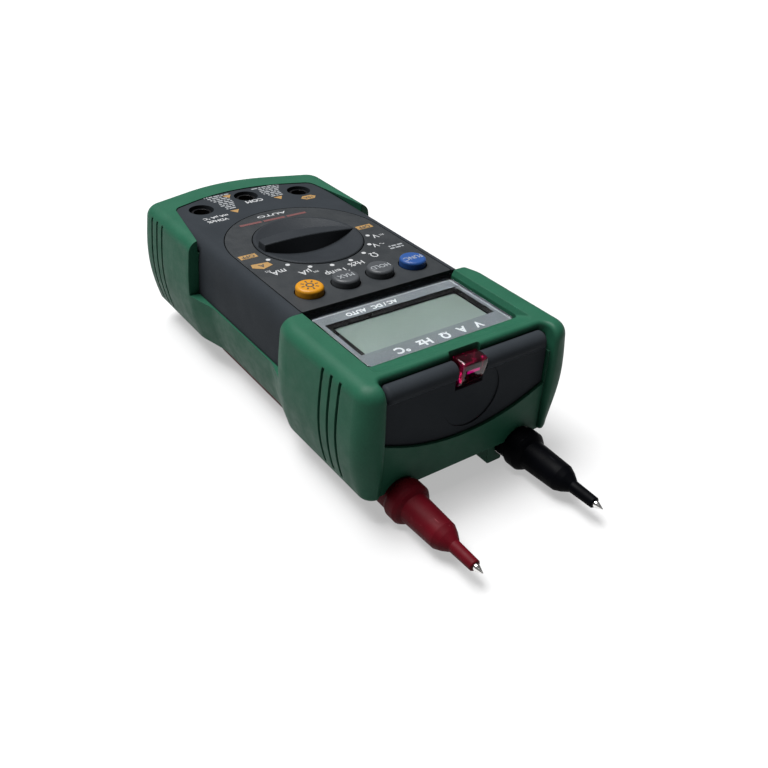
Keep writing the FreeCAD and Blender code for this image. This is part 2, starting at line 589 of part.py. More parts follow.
def make_board():
    outline = mirrored([(27.0, 76.6, 2), (27.0, -38, 4), (0, -52.6, 42)])
    board = prism(outline, BOARD_BACK, BOARD_TOP)
    holes = [post(x, y, -15, -10, SLEEVE_RADIUS + GAP) for name, x, y in jacks()]
    holes += [post(x, y, -15, -10, 1.6) for x, y in screw_places()]
    pieces["main_board"] = board.cut(holes)

    back = BOARD_UNDER
    chip = box(-7, 7, 12, 26, back - 1.6, back - 0.1)
    legs = []
    for i in range(12):
        place = -5.5 + i
        legs.append(box(place - 0.2, place + 0.2, 10.9, 12.2, back - 1.0, back))
        legs.append(box(place - 0.2, place + 0.2, 25.8, 27.1, back - 1.0, back))
        legs.append(box(-8.1, -6.8, 19 + place - 0.2, 19 + place + 0.2, back - 1.0, back))
        legs.append(box(6.8, 8.1, 19 + place - 0.2, 19 + place + 0.2, back - 1.0, back))
    pieces["meter_chip"] = chip.fuse(legs)
    pieces["buzzer"] = post(0, 44.0, back - 2.8, back, 7.0).cut(post(0, 44.0, back - 4, back - 2, 1.0))
    pieces["thermistor"] = soften(box(-24.5, -16.5, -22, -19, back - 8, back), 1.0,
                                  lambda edge: abs(edge.Vertexes[0].Z - edge.Vertexes[1].Z) < 0.01)

    clips = []
    for name, size in FUSES.items():
        pieces[name] = make_fuse(*size)
        clips += fuse_clips(*size)
    pieces["fuse_clips"] = group(clips)
    path = [Vector(-19, -26, back), Vector(-19, -26, -18.6), Vector(-7, -26, -18.6),
            Vector(-7, -26, back)]
    pieces["current_shunt"] = rod_along(path, 0.8)


def rod_along(path, radius):
    """Round bar along straight runs with ball corners."""
    solids = []
    for start, end in zip(path, path[1:]):
        run = end - start
        solids.append(Part.makeCylinder(radius, run.Length, start, run))
    for corner in path[1:-1]:
        solids.append(Part.makeSphere(radius, corner))
    return solids[0].fuse(solids[1:]).removeSplitter()


def make_fuse(x, y, length, radius):
    body = bar(x, FUSE_Z, y, y + length, radius - 0.25)
    ends = [bar(x, FUSE_Z, y, y + 5, radius), bar(x, FUSE_Z, y + length - 5, y + length, radius)]
    return body.fuse(ends).removeSplitter()


def fuse_clips(x, y, length, radius):
    clips = []
    for y0 in (y + 0.8, y + length - 4.8):
        start, end = y0 - 1, y0 + 5
        held = radius + LINE_GAP
        outer = box(x - radius - 0.6, x + radius + 0.6, y0, y0 + 4, FUSE_Z - 1.6, BOARD_UNDER)
        inner = bar(x, FUSE_Z, start, end, held)
        relief = box(x - radius + 0.6, x + radius - 0.6, start, end, FUSE_Z, BOARD_BACK - 0.6)
        mouth = box(x - held, x + held, start, end, FUSE_Z - 3, FUSE_Z)
        clips.append(outer.cut([inner, relief, mouth]))
    return clips


def make_ncv():
    """Red window of the voltage sensor, with its diode in a pocket behind."""
    side = [(77.4, -1.0), (83.1, -1.0), (83.1, -6.0), (81.0, -9.6), (77.4, -9.6)]
    points = [Vector(-NCV_HALF, y, z) for y, z in side]
    window = Part.Face(Part.makePolygon(points + points[:1])).extrude(X_AXIS * 2 * NCV_HALF)
    window = soften(window, 1.3, lambda edge: edge.BoundBox.YMax > 82)
    pocket = box(-3.2, 3.2, 77, 81.6, -7.4, -2.3)
    pieces["ncv_window"] = window.cut(pocket)
    led_radius, led_z, led_end = 1.5, -4.8, 80.0
    led = bar(0, led_z, 77.4, led_end, led_radius)
    dome = Part.makeSphere(led_radius, Vector(0, led_end, led_z))
    pieces["ncv_led"] = led.fuse(dome).removeSplitter()


# ---- batteries, door and stand ------------------------------------------------------------
def make_batteries():
    can_end = CELL_START + CELL_LENGTH - NUB_LENGTH
    for name, side in (("battery_1", 1), ("battery_2", -1)):
        cell = bar(side * CELL_X, CELL_Z, CELL_START, can_end, CELL_RADIUS)
        nub_y = can_end if side > 0 else CELL_START - NUB_LENGTH
        pieces[name] = cell.fuse(bar(side * CELL_X, CELL_Z, nub_y, nub_y + NUB_LENGTH, 1.8))
    far = CELL_START + CELL_LENGTH
    plates = []
    for side in (1, -1):
        plates.append(box(side * CELL_X - 4, side * CELL_X + 4, far + 0.1, far + 0.5, -30.5, -22))
        plates.append(box(side * CELL_X - 4, side * CELL_X + 4, -48.5, -48.35, -30.5, -22))
    pieces["battery_contacts"] = group(plates)


def make_door():
    door = box(-DOOR_HALF, DOOR_HALF, DOOR_START, DOOR_END, BOX_BACK_Z, -32.15)
    door = soften(door, 0.5, level(BOX_BACK_Z))
    ribs = [box(-7, 7, y, y + 0.9, BOX_BACK_Z - 1, BOX_BACK_Z + 0.35) for y in (-11, -8.5, -6)]
    y = DOOR_SCREW_Y
    screw = post(0, y, BOX_BACK_Z - 1, -33.0, 1.9).fuse(post(0, y, -36, -30, 1.1))
    pieces["battery_door"] = door.cut(ribs + [screw])
    head = post(0, y, BOX_BACK_Z + 0.05, -33.02, 1.75)
    shank = post(0, y, -33.1, -27.5, 0.8)
    slot = box(-1.3, 1.3, y - 0.2, y + 0.2, -35, -33.4)
    pieces["battery_door_screw"] = head.fuse(shank).cut(slot)


def make_stand():
    plate = box(-STAND_HALF, STAND_HALF, 7.0, PIN_Y, -33.5, -30.95)
    barrel = Part.makeCylinder(1.4, 2 * STAND_HALF, Vector(-STAND_HALF, PIN_Y, PIN_Z), X_AXIS)
    hollow = box(-7.0, 7.0, 14.0, 46.0, -40, -32.7)
    hollow = soften(hollow, 2.0, lambda edge: edge.BoundBox.ZLength > 5)
    nail = bar(0, BOX_BACK_Z - 2.2, 0, 9.0, 4.4)
    bore = Part.makeCylinder(PIN_RADIUS + 0.07, 30, Vector(-15, PIN_Y, PIN_Z), X_AXIS)
    plate = soften(plate, 2.5, lambda edge: edge.BoundBox.ZLength > 1 and edge.BoundBox.YMax < 8)
    pieces["tilt_stand"] = plate.cut(hollow).fuse(barrel).cut([bore, nail]).removeSplitter()
    pieces["stand_pin"] = Part.makeCylinder(PIN_RADIUS, 24.2, Vector(-12.1, PIN_Y, PIN_Z), X_AXIS)


# ---- probes -------------------------------------------------------------------------------
def make_probe(name, x):
    """Moulded handle with a finger guard and a thin insulated nose, and its metal point."""
    profile = [(PROBE_REAR, 0), (PROBE_REAR, 4.6), (PROBE_REAR + 1.2, PROBE_RADIUS),
               (FLANGE_Y, PROBE_RADIUS), (FLANGE_Y + 0.1, 5.9), (FLANGE_Y + 0.9, 6.25),
               (86.6, 6.25), (87.6, 5.6), (88.4, 4.6), (100.4, 4.15), (102.4, 3.3),
               (104.8, 1.85), (112.6, 1.65), (112.9, 1.4), (112.9, 0)]
    handle = turned_along_y(profile, x, PROBE_Z)
    inlet = bar(x, PROBE_Z, PROBE_REAR - 1, PROBE_REAR + 12, 2.0)
    core = bar(x, PROBE_Z, 60, 114, TIP_RADIUS + LINE_GAP)
    pieces[name + "_handle"] = handle.cut([inlet, core])
    point = turned_along_y([(60.2, 0), (60.2, TIP_RADIUS), (113.6, TIP_RADIUS), (115.3, 0.3),
                            (PROBE_POINT, 0.06), (PROBE_POINT, 0)], x, PROBE_Z)
    pieces[name + "_tip"] = point


# ---- build and export ---------------------------------------------------------------------
pieces["holster"] = make_holster()
pieces["front_case"] = make_front_case()
pieces["control_panel"] = make_control_panel()
pieces["rear_case"] = make_rear_case()
pieces["case_screws"] = make_case_screws()
make_display()
make_buttons()
make_knob()
make_sockets()
make_board()
make_ncv()
make_batteries()
make_door()
make_stand()
make_probe("red_probe", PROBE_X)
make_probe("black_probe", -PROBE_X)

TO_STAND = Vector(0, -(JACK_END + PROBE_POINT) / 2, -REST_Z)
for name, shape in pieces.items():
    shape.translate(TO_STAND)
    shape.exportStep("parts/%s.step" % name)
print("moved by", TO_STAND)
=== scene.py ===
import json
import math

import bmesh
import bpy
from mathutils import Matrix, Quaternion, Vector


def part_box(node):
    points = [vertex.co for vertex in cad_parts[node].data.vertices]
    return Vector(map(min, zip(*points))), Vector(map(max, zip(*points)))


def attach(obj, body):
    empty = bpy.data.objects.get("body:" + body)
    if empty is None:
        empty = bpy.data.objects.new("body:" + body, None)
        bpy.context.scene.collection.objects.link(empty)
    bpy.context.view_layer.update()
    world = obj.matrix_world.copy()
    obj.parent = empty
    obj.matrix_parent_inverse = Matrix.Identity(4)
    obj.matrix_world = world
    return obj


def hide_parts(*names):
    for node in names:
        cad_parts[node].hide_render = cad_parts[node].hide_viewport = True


# A digital multimeter in its green rubber holster, lying on its back with its two test
# probes clipped underneath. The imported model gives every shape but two: the red window of the
# voltage sensor and the diode behind it have finer, rounded meshes here. This file adds those,
# the finishes, the printing, the camera and the light.
#
# Places on the instrument are in millimetres from the middle of the dial, with X across it,
# Y toward the display end and Z up from the panel's face. at() turns them into metres.

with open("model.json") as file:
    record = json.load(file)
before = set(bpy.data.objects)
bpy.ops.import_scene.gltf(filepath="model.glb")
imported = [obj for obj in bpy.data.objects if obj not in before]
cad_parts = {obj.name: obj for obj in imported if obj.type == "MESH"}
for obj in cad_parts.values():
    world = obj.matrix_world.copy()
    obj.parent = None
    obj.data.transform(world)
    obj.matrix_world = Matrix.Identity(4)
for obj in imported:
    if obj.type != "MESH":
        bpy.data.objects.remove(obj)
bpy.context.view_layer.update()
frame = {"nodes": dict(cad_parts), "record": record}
NODES = frame["nodes"]
SLOTS = {part["node"]: part["material_slot"] for part in frame["record"]["subparts"]}

MM = 0.001

# ---- places, worked out from the frame -------------------------------------------------------
KNOB_LOW, KNOB_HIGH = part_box("rotary_knob")
KNOB_MIDDLE = (KNOB_LOW + KNOB_HIGH) / 2
PANEL_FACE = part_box("control_panel")[1].z
ORIGIN = Vector((KNOB_MIDDLE.x, KNOB_MIDDLE.y, PANEL_FACE))


def at(x, y, z=0.0):
    """That place on the instrument, in metres."""
    return ORIGIN + Vector((x, y, z)) * MM


def measured(corners):
    """The corners of a box, in millimetres from the middle of the dial."""
    return [(corner - ORIGIN) / MM for corner in corners]


def top_middle(node):
    """Centre of a node's top face, in millimetres from the middle of the dial."""
    low, high = measured(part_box(node))
    return (low.x + high.x) / 2, (low.y + high.y) / 2, high.z


def around(radius, degrees):
    """The (x, y) at that distance and angle from a centre, anticlockwise from +X."""
    return radius * math.cos(math.radians(degrees)), radius * math.sin(math.radians(degrees))


# ---- object helpers --------------------------------------------------------------------------
def new_object(name, data):
    made = bpy.data.objects.new(name, data)
    bpy.context.scene.collection.objects.link(made)
    return made


def new_piece(name, shell, material):
    """Object with the mesh gathered in a bmesh, which is used up."""
    mesh = bpy.data.meshes.new(name)
    shell.to_mesh(mesh)
    shell.free()
    mesh.materials.append(material)
    return new_object(name, mesh)


def aim_at(thing, place, direction, roll=0.0):
    """Put a camera or light at place, looking along direction."""
    thing.location = place
    thing.rotation_mode = "QUATERNION"
    turned = Quaternion((0, 0, 1), math.radians(roll))
    thing.rotation_quaternion = direction.to_track_quat("-Z", "Y") @ turned


# ---- camera, floor and light, in metres and degrees ------------------------------------------
AZIMUTH = 142.345
ELEVATION = 33.781
ROLL = 3.59
AIM = Vector((0.0094, 0.0287, 0.0233))
DISTANCE = 0.2407
LENS = 39.74
SENSOR = 36.0
NEAREST, FARTHEST = 0.01, 20.0

SOFT_BOXES = {   # place, side and power
    "key": (Vector((1.20, -0.90, 3.80)), 2.00, 395.0),
    "top": (Vector((-0.25, -1.70, 3.80)), 2.20, 190.0),
}
LIT_SPOT = Vector((0, 0, 0.02))
WORLD_SEEN = 1.0       # strength of the white world to the camera
WORLD_LIGHT = 0.12     # and as a light

FLOOR_HALF = 4.0
FLOOR_TONE = (0.22, 0.22, 0.221, 1)
FLOOR_GLOW = 0.43      # keeps the shadow under the meter pale
FLOOR_ROUGHNESS = 0.85
FLOOR_SPECULAR = 0.1


def make_camera():
    """Looks down at the display end, from beyond its right-hand corner."""
    turn, rise = math.radians(AZIMUTH), math.radians(ELEVATION)
    back = Vector((math.sin(turn) * math.cos(rise), -math.cos(turn) * math.cos(rise), math.sin(rise)))
    data = bpy.data.cameras.new("camera")
    data.lens = LENS
    data.sensor_width = SENSOR
    data.clip_start, data.clip_end = NEAREST, FARTHEST
    camera = new_object("camera", data)
    aim_at(camera, AIM + back * DISTANCE, -back, ROLL)
    bpy.context.scene.camera = camera


def make_lights():
    """Soft boxes high over the instrument."""
    for name, (place, side, power) in SOFT_BOXES.items():
        data = bpy.data.lights.new(name, "AREA")
        data.shape = "SQUARE"
        data.size = side
        data.energy = power
        aim_at(new_object(name, data), place, LIT_SPOT - place)


def make_world():
    """White all round, bright to the camera but dim as a light."""
    world = bpy.data.worlds.new("studio")
    world.use_nodes = True
    tree = world.node_tree
    seen = add(tree, "LightPath").outputs["Is Camera Ray"]
    wire(tree, tree.nodes["Background"], {"Color": (1, 1, 1, 1),
                                          "Strength": remap(tree, seen, 0, 1, WORLD_LIGHT, WORLD_SEEN)})
    bpy.context.scene.world = world
    bpy.context.scene.view_settings.view_transform = "Standard"


def make_floor():
    """Pale floor, lit a little from within."""
    material, tree, shader = new_material("pale_floor")
    wire(tree, shader, {"Base Color": FLOOR_TONE, "Emission Color": (1, 1, 1, 1),
                        "Emission Strength": FLOOR_GLOW, "Roughness": FLOOR_ROUGHNESS,
                        "Specular IOR Level": FLOOR_SPECULAR})
    material.cycles.emission_sampling = "NONE"
    sheet = bmesh.new()
    corners = ((-1, -1), (1, -1), (1, 1), (-1, 1))
    sheet.faces.new([sheet.verts.new((x * FLOOR_HALF, y * FLOOR_HALF, 0)) for x, y in corners])
    floor = new_piece("floor", sheet, material)


# ---- shader building blocks ------------------------------------------------------------------
MOST_LOW, MOST_HIGH = 0.3, 0.7           # most of a noise's values lie between these
FLAT_COSINE, WORN_COSINE = 0.97, 0.80    # of the rounded normal's turn, on a flat face and an edge
BEVEL_SAMPLES = 4
CREVICE = 0.7                            # how far from a gap, in millimetres, the painted shade reaches
CREVICE_SAMPLES = 6
SHADE_FREE_AIR, FULL_SHADE_AIR = 0.75, 0.35        # share of open air where the painted shade begins, and where it is darkest
DARKEST_PAINTED_SHADE = 0.85                     # how much of the colour the painted shade covers there
PAINTED_SHADE_TONE = 0.12                        # the painted shade's colour, as a share of the material's


def wire(tree, node, inputs):
    """Set a node's inputs to values, or link them from the sockets given."""
    for socket, value in inputs.items():
        if isinstance(value, bpy.types.NodeSocket):
            tree.links.new(value, node.inputs[socket])
        else:
            node.inputs[socket].default_value = value


def add(tree, kind, inputs=None, **settings):
    """New shader node of that kind, with its inputs and its settings."""
    made = tree.nodes.new("ShaderNode" + kind)
    for name, value in settings.items():
        setattr(made, name, value)
    wire(tree, made, inputs or {})
    return made


def new_material(name):
    material = bpy.data.materials.new(name)
    material.use_nodes = True
    return material, material.node_tree, material.node_tree.nodes["Principled BSDF"]


def millimetres(tree):
    """Place on the object in millimetres, which moves with the body."""
    place = add(tree, "TexCoord").outputs["Object"]
    return add(tree, "VectorMath", {0: place, "Scale": 1 / MM}, operation="SCALE").outputs[0]


def noise(tree, place, size, detail=2.0, roughness=0.5):
    """Smooth noise from 0 to 1 whose lumps are about that many millimetres across."""
    made = add(tree, "TexNoise", {"Vector": place, "Scale": 1 / size, "Detail": detail,
                                  "Roughness": roughness})
    return made.outputs["Fac"]


def remap(tree, value, low, high, to_low=0.0, to_high=1.0):
    """Value taken from one range to another, without leaving it."""
    return add(tree, "MapRange", {"Value": value, "From Min": low, "From Max": high,
                                  "To Min": to_low, "To Max": to_high}).outputs[0]


def spread(tree, value, to_low=0.0, to_high=1.0):
    """Noise stretched over a range."""
    return remap(tree, value, MOST_LOW, MOST_HIGH, to_low, to_high)


def blend_colour(tree, share, first, second):
    """First colour turning into the second as share goes from 0 to 1."""
    made = add(tree, "Mix", {0: share, 6: first, 7: second}, data_type="RGBA")
    return made.outputs[2]     # the Mix node's colour sockets are 6 and 7, and 2 going out


def math_node(tree, operation, first, second):
    return add(tree, "Math", {0: first, 1: second}, operation=operation).outputs[0]


def bumped(tree, height, depth, strength=1.0, **normal):
    """Normal roughened by height, whose full range is that many millimetres deep."""
    return add(tree, "Bump", {"Height": height, "Strength": strength, "Distance": depth * MM,
                              **normal}).outputs[0]


def worn_edges(tree, radius):
    """Normal rounded over edges to a radius in millimetres, and a mask that is 1 on the edges."""
    rounded = add(tree, "Bevel", {"Radius": radius * MM}, samples=BEVEL_SAMPLES).outputs[0]
    normal = add(tree, "NewGeometry").outputs["Normal"]
    facing = add(tree, "VectorMath", {0: rounded, 1: normal}, operation="DOT_PRODUCT").outputs["Value"]
    return rounded, remap(tree, facing, FLAT_COSINE, WORN_COSINE)


def shade(colour, factor=1.0):
    """Colour made darker or lighter by factor, with its alpha."""
    return tuple(min(channel * factor, 1.0) for channel in colour) + (1.0,)


# ---- kinds of material -----------------------------------------------------------------------
def moulded(name, colour, roughness, grain=0.22, depth=0.006, mottle=0.10, wear=0.25,
            edge=0.25, specular=0.5, smudge=0.10):
    """Moulded plastic or rubber: tool grain, faint blotches, finger marks, paler edges, and painted shade
    darkening its crevices and gaps.

    Grain, depth and edge are in millimetres: the grain's spacing, how deep it is, and the
    radius that sharp edges are worn to."""
    material, tree, shader = new_material(name)
    place = millimetres(tree)
    blotches = spread(tree, noise(tree, place, size=9.0, detail=4.0))
    body = blend_colour(tree, blotches, shade(colour, 1 - mottle), shade(colour, 1 + mottle))
    speckle = remap(tree, noise(tree, place, size=1.6 * grain), 0.35, 0.75, 0.0, 0.5)
    body = blend_colour(tree, speckle, body, shade(colour, 1.25))
    rounded, edges = worn_edges(tree, edge)
    paler = [0.9 * channel + 0.04 for channel in colour]
    body = blend_colour(tree, math_node(tree, "MULTIPLY", edges, wear), body, shade(paler))
    # painted shade: the colour is darkened in crevices and gaps, where shade falls, by an
    # ambient-occlusion mask
    open_air = add(tree, "AmbientOcclusion", {"Distance": CREVICE * MM}, samples=CREVICE_SAMPLES)
    painted_shade = remap(tree, open_air.outputs["AO"], SHADE_FREE_AIR, FULL_SHADE_AIR, 0.0, DARKEST_PAINTED_SHADE)
    marks = noise(tree, place, size=5.0, detail=5.0, roughness=0.65)
    height = noise(tree, place, size=grain, detail=3.0, roughness=0.6)
    wire(tree, shader, {
        "Base Color": blend_colour(tree, painted_shade, body, shade(colour, PAINTED_SHADE_TONE)),
        "Roughness": remap(tree, marks, 0.3, 0.75, roughness - smudge, roughness + smudge),
        "Specular IOR Level": specular,
        "Normal": bumped(tree, height, depth, Normal=rounded)})
    return material


def printed(name, colour, roughness=0.45):
    """Screen-printed ink: even colour broken up by the pores and thin spots of the print."""
    material, tree, shader = new_material(name)
    pores = noise(tree, millimetres(tree), size=0.35, detail=4.0, roughness=0.7)
    thin = remap(tree, pores, 0.30, 0.60)
    wire(tree, shader, {
        "Base Color": blend_colour(tree, thin, shade(colour, 0.72), shade(colour)),
        "Roughness": remap(tree, thin, 0, 1, roughness + 0.2, roughness),
        "Normal": bumped(tree, thin, depth=0.01, strength=0.4)})
    return material


def metal(name, colour, roughness, scratch=0.12):
    """Turned or plated metal with fine circular tool marks and a little tarnish."""
    material, tree, shader = new_material(name)
    place = millimetres(tree)
    tarnish = remap(tree, noise(tree, place, size=2.5, detail=4.0), 0.35, 0.7)
    stretched = add(tree, "Mapping", {"Vector": place, "Scale": (0.4, 6.0, 0.4)}).outputs[0]
    lines = noise(tree, stretched, size=1.0, detail=3.0)
    wire(tree, shader, {
        "Base Color": blend_colour(tree, tarnish, shade(colour, 0.85), shade(colour)),
        "Metallic": 1.0,
        "Roughness": spread(tree, lines, roughness, roughness + scratch),
        "Normal": bumped(tree, lines, depth=0.004, strength=0.3)})
    return material


SCUFFS = ((0.5, 1.6), (-0.9, 2.4), (1.9, 3.1))      # their slants in radians, spacings in millimetres


def scratched(name, colour, roughness, pale, specular):
    """Soft moulded handle with fine moulding grain and pale scuffs and nicks."""
    material, tree, shader = new_material(name)
    place = millimetres(tree)
    blotches = spread(tree, noise(tree, place, size=6.0, detail=4.0))
    body = blend_colour(tree, blotches, shade(colour, 0.85), shade(colour, 1.15))
    lines = 0.0
    for turn, spacing in SCUFFS:
        slanted = add(tree, "Mapping", {"Vector": place, "Rotation": (turn, turn * 0.7, turn * 1.3),
                                        "Scale": (4.0, 0.16, 4.0)}).outputs[0]
        scuff = remap(tree, noise(tree, slanted, size=spacing, detail=1.0), 0.76, 0.80)
        lines = math_node(tree, "MAXIMUM", scuff, lines)
    patches = remap(tree, noise(tree, place, size=7.0), 0.50, 0.62)
    lines = math_node(tree, "MULTIPLY", lines, patches)
    rounded, edges = worn_edges(tree, radius=0.3)
    share = math_node(tree, "ADD", math_node(tree, "MULTIPLY", lines, 0.5),
                      math_node(tree, "MULTIPLY", edges, 0.04))
    gloss = noise(tree, place, size=4.0, detail=4.0)
    grain = math_node(tree, "MULTIPLY", noise(tree, place, size=0.25, detail=3.0), 0.5)
    wire(tree, shader, {
        "Base Color": blend_colour(tree, share, body, shade(pale)),
        "Roughness": spread(tree, gloss, roughness - 0.08, roughness + 0.12),
        "Specular IOR Level": specular,
        "Normal": bumped(tree, math_node(tree, "ADD", grain, lines), depth=0.012, Normal=rounded)})
    return material


def clear(name, colour, roughness, index):
    """Clear moulded window, with a faint haze of wipe marks."""
    material, tree, shader = new_material(name)
    haze = noise(tree, millimetres(tree), size=4.0, detail=5.0, roughness=0.7)
    wire(tree, shader, {
        "Base Color": blend_colour(tree, spread(tree, haze), shade(colour, 0.98), shade(colour)),
        "Roughness": remap(tree, haze, 0.45, 0.8, roughness, roughness + 0.06),
        "Transmission Weight": 1.0,
        "IOR": index})
    return material


def tinted(name, colour, roughness, index):
    """Deep-coloured clear plastic, partly milky, so that its edges and its core both show."""
    material, tree, shader = new_material(name)
    place = millimetres(tree)
    cloud = spread(tree, noise(tree, place, size=2.0, detail=3.0))
    wipes = noise(tree, place, size=1.2, detail=4.0)
    wire(tree, shader, {
        "Base Color": blend_colour(tree, cloud, shade(colour, 0.8), shade(colour, 1.15)),
        "Roughness": remap(tree, wipes, 0.35, 0.75, roughness, roughness + 0.08),
        "Transmission Weight": 0.94,
        "IOR": index})
    return material


def display_film(name, colour):
    """Unlit liquid-crystal glass: a satin grey-green film with a slow change of tone."""
    material, tree, shader = new_material(name)
    place = millimetres(tree)
    broad = remap(tree, noise(tree, place, size=30.0, detail=1.0), 0.35, 0.65)
    body = blend_colour(tree, broad, shade(colour, 0.94), shade(colour, 1.05))
    fine = noise(tree, place, size=0.12, detail=1.0)
    wire(tree, shader, {
        "Base Color": blend_colour(tree, spread(tree, fine, 0.0, 0.25), body, shade(colour, 0.85)),
        "Roughness": remap(tree, broad, 0, 1, 0.30, 0.38),
        "Normal": bumped(tree, fine, depth=0.004, strength=0.3)})
    return material


def painted_glow(name, colour, glow):
    """Translucent diode with a painted glow: its emission stands in for light caught inside its window."""
    material, tree, shader = new_material(name)
    patches = noise(tree, millimetres(tree), size=0.8)
    wire(tree, shader, {
        "Base Color": blend_colour(tree, patches, shade(colour, 0.03), shade(colour, 0.05)),
        "Emission Color": blend_colour(tree, patches, shade(colour, 0.8), shade(colour)),
        "Emission Strength": glow,
        "Roughness": 0.25})
    return material


def board(name, dark, light, track):
    """Solder-masked laminate with copper tracks showing through as paler lines."""
    material, tree, shader = new_material(name)
    place = millimetres(tree)
    cells = add(tree, "TexBrick", {"Vector": place, "Scale": 0.35, "Mortar Size": 0.05,
                                   "Color1": dark, "Color2": light, "Mortar": track})
    wire(tree, shader, {
        "Base Color": cells.outputs["Color"],
        "Roughness": spread(tree, noise(tree, place, size=3.0), 0.25, 0.45),
        "Normal": bumped(tree, cells.outputs["Fac"], depth=0.03, strength=0.5)})
    return material


# ---- finishes --------------------------------------------------------------------------------
def key_cap(name, colour, roughness, wear=0.08):
    return moulded(name, colour, roughness, grain=0.15, depth=0.005, mottle=0.06, wear=wear,
                   edge=0.20, specular=0.16)


FINISHES = {   # by the record's material slots
    "holster_rubber": moulded("green_rubber", (0.0088, 0.0480, 0.0280), 0.50, grain=0.30,
                              mottle=0.07, wear=0.10, edge=0.35, specular=0.08),
    "shell_plastic": moulded("charcoal_shell", (0.0156, 0.0180, 0.0208), 0.40, grain=0.20,
                             depth=0.008, mottle=0.08, wear=0.06, specular=0.01),
    "panel_plastic": moulded("charcoal_panel", (0.0106, 0.0124, 0.0141), 0.46, grain=0.16,
                             depth=0.008, mottle=0.06, wear=0.08, edge=0.15, specular=0.20),
    "dial_plastic": moulded("dial_black", (0.0142, 0.0160, 0.0184), 0.40, depth=0.005,
                            mottle=0.08, wear=0.08, specular=0.04),
    "black_plastic": moulded("jack_black", (0.0032, 0.0033, 0.0038), 0.32, grain=0.15,
                             depth=0.003, wear=0.06, edge=0.15, specular=0.15),
    "grey_cap": key_cap("grey_cap", (0.0280, 0.0305, 0.0335), 0.42, wear=0.14),
    "blue_cap": key_cap("blue_cap", (0.0100, 0.0360, 0.125), 0.40),
    "yellow_cap": key_cap("yellow_cap", (0.250, 0.108, 0.004), 0.42),
    "clear_lens": clear("clear_acrylic", (0.97, 0.98, 0.98), 0.02, index=1.16),
    "red_window": tinted("red_acrylic", (0.12, 0.002, 0.018), 0.05, index=1.40),
    "lcd_cell": display_film("lcd_film", (0.134, 0.172, 0.157)),
    "white_plastic": moulded("diffuser_white", (0.75, 0.75, 0.72), 0.45, wear=0.05),
    "silicone": moulded("silicone_mat", (0.35, 0.35, 0.34), 0.60),
    "conductive_rubber": moulded("zebra_rubber", (0.30, 0.28, 0.30), 0.60, grain=0.10),
    "ceramic_body": moulded("ceramic_body", (0.68, 0.66, 0.60), 0.40, grain=0.30),
    "cell_jacket": moulded("cell_jacket", (0.05, 0.05, 0.06), 0.28, grain=0.30, depth=0.002),
    "brass_plated": metal("plated_brass", (0.62, 0.50, 0.30), 0.22),
    "spring_steel": metal("spring_steel", (0.56, 0.56, 0.57), 0.25),
    "bright_tip": metal("bright_tip", (0.90, 0.89, 0.87), 0.14, scratch=0.10),
    "circuit_board": board("board_green", dark=(0.01, 0.12, 0.045, 1), light=(0.012, 0.16, 0.06, 1),
                           track=(0.02, 0.25, 0.09, 1)),
    "red_probe_plastic": scratched("red_handle", (0.0475, 0.0014, 0.0038), 0.46,
                                   pale=(0.25, 0.06, 0.07), specular=0.05),
    "black_probe_plastic": scratched("black_handle", (0.0009, 0.0010, 0.0015), 0.46,
                                     pale=(0.03, 0.03, 0.04), specular=0.02),
}
# painted glow: the diode is given emission that stands in for light caught in the sensor window
DIODE_PAINTED_GLOW = painted_glow("magenta_diode_painted_glow", (1.0, 0.01, 0.9), glow=1.2)

WHITE_INK = printed("white_ink", (0.245, 0.250, 0.255))
YELLOW_INK = printed("yellow_ink", (0.180, 0.098, 0.020))
NOTE_INK = printed("note_ink", (0.150, 0.158, 0.165))
CAP_INK = printed("cap_ink", (0.170, 0.180, 0.190))
DARK_INK = printed("dark_ink", (0.008, 0.007, 0.006))
RED_INK = printed("red_ink", (0.060, 0.009, 0.009))
GREY_INK = printed("grey_ink", (0.100, 0.114, 0.128), 0.35)
LENS_INK = printed("lens_ink", (0.62, 0.64, 0.65), 0.35)
PALE_INK = printed("pale_ink", (0.33, 0.35, 0.36), 0.35)


def finish_nodes():
    """Give every CAD node the finish that the record names for it."""
    for name, node in NODES.items():
        node.data.materials.clear()
        node.data.materials.append(FINISHES[SLOTS[name]])


# ---- the voltage sensor's window and diode ---------------------------------------------------
WINDOW_SIDE_GAP = 0.3
WINDOW_LIP = 0.4          # how far the top edge stands back
WINDOW_RADIUS = 1.3
# Down the window's face: how far it stands back from the front, and below the top.
WINDOW_FACE = ((0.2, 1.6), (0.8, 5.0), (2.1, 8.0))
DIODE_DEPTH = 0.5
DIODE_FOOT, DIODE_HEAD = 1.5, 2.4
DIODE_OVERHANG = 0.6
DIODE_RADIUS = 0.2
ROUNDING_STEPS = 6


def rounded_block(name, x0, x1, profile, radius, material):
    """Block along X with that (y, z) side profile, its edges rounded to radius."""
    shell = bmesh.new()
    ends = [[shell.verts.new(at(x, y, z)) for y, z in profile] for x in (x0, x1)]
    shell.faces.new(ends[0])
    shell.faces.new(ends[1][::-1])
    for i in range(len(profile)):
        j = (i + 1) % len(profile)
        shell.faces.new((ends[0][j], ends[0][i], ends[1][i], ends[1][j]))
    bmesh.ops.bevel(shell, geom=shell.edges[:], offset=radius * MM, segments=ROUNDING_STEPS,
                    profile=0.5, affect="EDGES", clamp_overlap=True)
    bmesh.ops.recalc_face_normals(shell, faces=shell.faces)
    for face in shell.faces:
        face.smooth = True
    return new_piece(name, shell, material)


